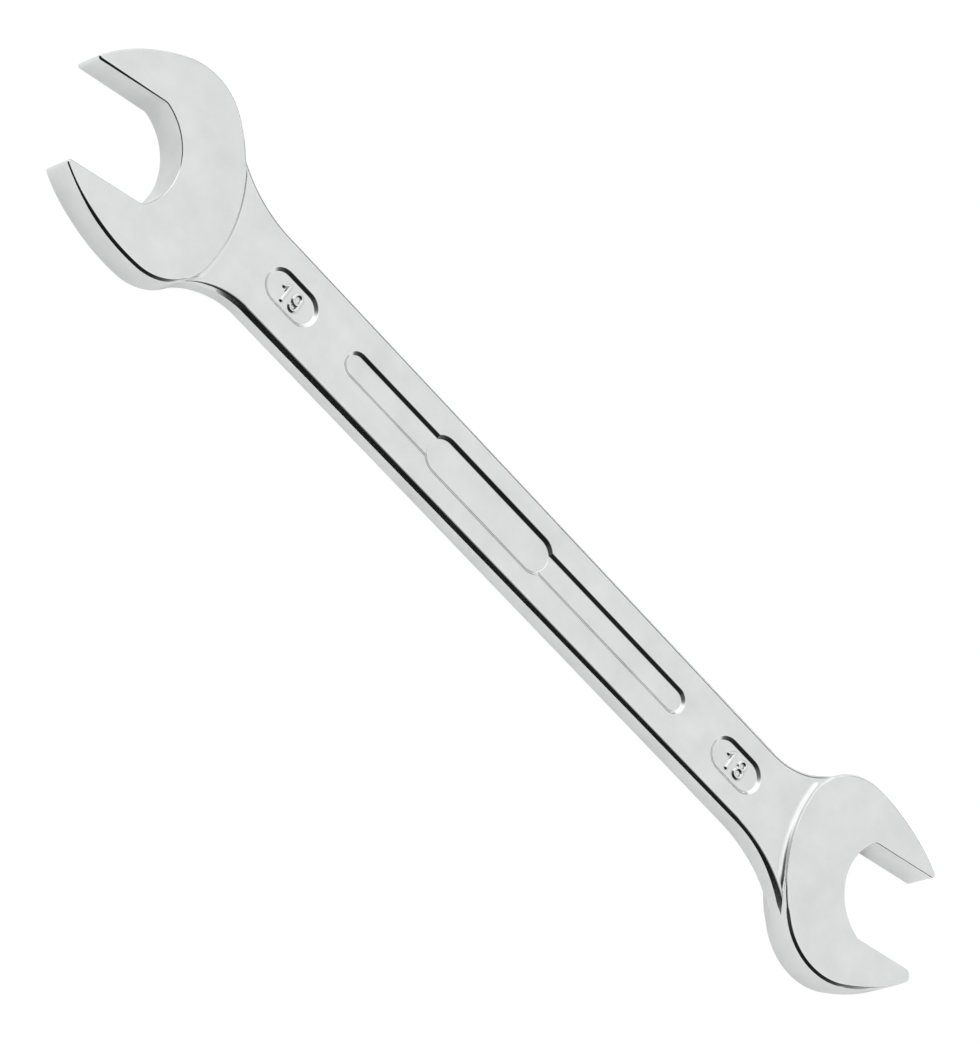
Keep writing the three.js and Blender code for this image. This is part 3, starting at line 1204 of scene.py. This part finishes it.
    def build(self) -> bpy.types.Object:
        """Makes the forging's mesh in the box of its solid, with its finish.

        Returns:
            The finished piece.
        """
        solid = self.body()
        low, high = solid.points.min(axis=0), solid.points.max(axis=0)
        floor, ceiling = (np.array(corner) for corner in solid_box)
        points = floor + (solid.points - low) * (ceiling - floor) / (high - low)
        mesh = bpy.data.meshes.new("wrench_body")
        mesh.from_pydata(points.tolist(), [], solid.faces)
        mesh.shade_smooth()
        mesh.set_sharp_from_angle(angle=self.crease)
        mesh.materials.append(self.finish.material())
        normals = np.empty(3 * len(mesh.polygons))
        mesh.polygons.foreach_get("normal", normals)
        level = np.abs(normals[2::3]) > self.level_normal
        mesh.attributes.new(GROUND_FACES, "FLOAT", "FACE").data.foreach_set("value", level.astype(float))
        body = bpy.data.objects.new("wrench_body", mesh)
        bpy.context.scene.collection.objects.link(body)
        flats = body.modifiers.new("flats", "WEIGHTED_NORMAL")
        flats.keep_sharp = True
        flats.weight = FULL_WEIGHT
        return body

    def dress(self, body: bpy.types.Object) -> None:
        """Hides the imported solid that the forging replaces, and hangs the forging on the root body.

        Args:
            body: The finished piece.
        """
        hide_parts("wrench_forging")
        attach(body, "root")


@dataclass(frozen=True)
class PhotoCamera:
    """The camera, at the angle and distance of the photograph.

    Args:
        azimuth: The azimuth of the camera as seen from what it looks at, in degrees.
        elevation: Its elevation, in degrees.
        roll: How far it is turned about the way it looks, in degrees.
        distance: How far it is from what it looks at.
        aim: What it looks at.
        lens: Its focal length.
        sensor: The width of its sensor.
        clip: The nearest and the furthest that it sees, in metres.
    """

    azimuth: float = -120.6055
    elevation: float = 52.5064
    roll: float = 71.6208
    distance: float = 1389.917
    aim: tuple[float, float, float] = (-2.8806, -0.9471, 3.6)
    lens: float = 275.862
    sensor: float = 36.0
    clip: tuple[float, float] = (0.05, 50.0)

    def build(self) -> None:
        """Makes the camera and gives it to the scene."""
        back = toward(self.azimuth, self.elevation)
        right = Vector((-back.y, back.x, 0)).normalized()
        up = back.cross(right)
        roll = math.radians(self.roll)
        across = right * math.cos(roll) + up * math.sin(roll)
        upward = up * math.cos(roll) - right * math.sin(roll)
        place = (Vector(self.aim) + back * self.distance) * METRES_PER_MM
        data = bpy.data.cameras.new("photo_camera")
        data.lens, data.sensor_width = self.lens, self.sensor
        data.clip_start, data.clip_end = self.clip
        camera = bpy.data.objects.new("photo_camera", data)
        axes = Matrix((across, upward, back)).transposed().to_4x4()
        camera.matrix_world = Matrix.Translation(place) @ axes
        bpy.context.scene.collection.objects.link(camera)
        bpy.context.scene.camera = camera


@dataclass(frozen=True)
class Patch:
    """A round part of the tent, seen from the wrench.

    Args:
        azimuth: The azimuth of its middle, in degrees.
        elevation: The elevation of its middle.
        reach: The angle from its middle to its edge.
        softness: Half the width of its edge.
        level: How bright it is.
    """

    azimuth: float
    elevation: float
    reach: float
    softness: float
    level: float

    def share(self, bench: NodeBench, way: Socket) -> Socket:
        """How far a direction is in the patch: a smooth step of its cosine with the middle.

        Args:
            bench: Where the nodes are made.
            way: The direction.

        Returns:
            The share, 0 outside the patch and 1 inside.
        """
        ways = {0: way, 1: toward(self.azimuth, self.elevation)}
        cosine = bench.add("ShaderNodeVectorMath", ways, operation="DOT_PRODUCT").outputs["Value"]
        outer, inner = (math.cos(math.radians(self.reach + side * self.softness)) for side in (1, -1))
        ends = {"Value": cosine, "From Min": outer, "From Max": inner}
        return bench.add("ShaderNodeMapRange", ends, interpolation_type="SMOOTHSTEP").outputs["Result"]


@dataclass(frozen=True)
class Studio:
    """A light tent over a pale floor. Metal needs its dark parts, which the edges mirror as lines.

    Args:
        tent: How bright the tent is.
        back: A dim part low behind the wrench, for the edges on the far side.
        side: A bright part beyond the large head, for the steps down to the shank.
        shades: Two dim parts beside the dark one.
        dark: The dark part on the camera's side.
        key_azimuth: The azimuth of the key light, in degrees.
        key_elevation: Its elevation.
        key_strength: Its strength.
        key_spread: The angle that it fills, which softens its shadows.
        floor_size: The width of the floor, in metres.
        floor_drop: How far it is below the wrench, in metres, so that the two don't share a plane.
        floor_colour: How pale it is.
        floor_glow: How bright its white is.
        camera_share: How much of that white the camera sees, while the rest keeps the shadow.
        mirror_share: How much of it metal mirrors.
    """

    tent: float = 0.935
    back: Patch = Patch(azimuth=70, elevation=0, reach=30, softness=10, level=0.2)
    side: Patch = Patch(azimuth=150, elevation=16, reach=50, softness=12, level=1.24)
    shades: tuple[Patch, Patch] = (
        Patch(azimuth=-148, elevation=25, reach=34, softness=12, level=0.1),
        Patch(azimuth=-29, elevation=21, reach=29, softness=10, level=0.12),
    )
    dark: Patch = Patch(azimuth=-82, elevation=25, reach=50, softness=28, level=0.012)
    key_azimuth: float = -130.0
    key_elevation: float = 48.0
    key_strength: float = 2.35
    key_spread: float = 25.0
    floor_size: float = 6.0
    floor_drop: float = 0.0001
    floor_colour: float = 0.8
    floor_glow: float = 1.06
    camera_share: float = 0.88
    mirror_share: float = 0.12

    def build(self) -> None:
        """Makes the tent, the key light and the floor."""
        self.light_tent()
        self.key_light()
        self.floor()

    def light_tent(self) -> None:
        """The tent, with one patch over another, and white where the camera sees it."""
        world = bpy.data.worlds.new("light_tent")
        world.use_nodes = True
        bpy.context.scene.world = world
        bench = NodeBench(world.node_tree)
        way = bench.add("ShaderNodeTexCoord").outputs["Generated"]
        level: Socket | float = self.tent
        for patch in (self.back, self.side, *self.shades, self.dark):
            level = bench.mix(patch.share(bench, way), level, patch.level)
        shown = bench.mix(bench.camera_rays(), level, 1.0)
        white = {"Color": (1.0, 1.0, 1.0, 1.0), "Strength": shown}
        background = bench.add("ShaderNodeBackground", white).outputs["Background"]
        bench.add("ShaderNodeOutputWorld", {"Surface": background})

    def key_light(self) -> None:
        """A soft key light from the camera's side, which metal doesn't mirror."""
        data = bpy.data.lights.new("key_light", "SUN")
        data.energy, data.angle = self.key_strength, math.radians(self.key_spread)
        lamp = bpy.data.objects.new("key_light", data)
        way = toward(self.key_azimuth, self.key_elevation)
        lamp.rotation_euler = way.to_track_quat("Z", "Y").to_euler()
        lamp.visible_glossy = False
        bpy.context.scene.collection.objects.link(lamp)

    def floor(self) -> None:
        """The floor, as one square."""
        half = self.floor_size / 2
        corners = [(-half, -half), (half, -half), (half, half), (-half, half)]
        mesh = bpy.data.meshes.new("floor")
        mesh.from_pydata([(*corner, -self.floor_drop) for corner in corners], [], [(0, 1, 2, 3)])
        mesh.materials.append(self.floor_paint())
        floor = bpy.data.objects.new("floor", mesh)
        bpy.context.scene.collection.objects.link(floor)

    def floor_paint(self) -> bpy.types.Material:
        """Pale paint that is white but for a soft shadow, and open to a look from below.

        Returns:
            The material.
        """
        material = bpy.data.materials.new("pale_floor")
        material.use_nodes = True
        bench = NodeBench(material.node_tree)
        colour = (self.floor_colour, self.floor_colour, self.floor_colour, 1.0)
        paint = bench.add("ShaderNodeBsdfDiffuse", {"Color": colour}).outputs["BSDF"]
        glow = bench.add("ShaderNodeEmission", {"Strength": self.floor_glow}).outputs["Emission"]
        mirrored = bench.add("ShaderNodeLightPath").outputs["Is Glossy Ray"]
        seen_share = bench.math("MULTIPLY", bench.camera_rays(), self.camera_share)
        mirrored_share = bench.math("MULTIPLY", mirrored, self.mirror_share)
        above = bench.shader_mix(bench.math("MAXIMUM", seen_share, mirrored_share), paint, glow)
        clear = bench.add("ShaderNodeBsdfTransparent").outputs["BSDF"]
        from_below = bench.add("ShaderNodeNewGeometry").outputs["Backfacing"]
        surface = bench.shader_mix(from_below, above, clear)
        bench.add("ShaderNodeOutputMaterial", {"Surface": surface})
        return material


def main() -> None:
    """Builds the camera, the studio and the wrench."""
    logging.basicConfig(level=logging.INFO, format="%(message)s")
    bpy.context.scene.view_settings.view_transform = "Standard"
    PhotoCamera().build()
    Studio().build()
    forging = Forging()
    body = forging.build()
    forging.dress(body)
    LOG.info("%s: %d corners, %d faces", body.name, len(body.data.vertices), len(body.data.polygons))


if __name__ == "__main__":
    main()
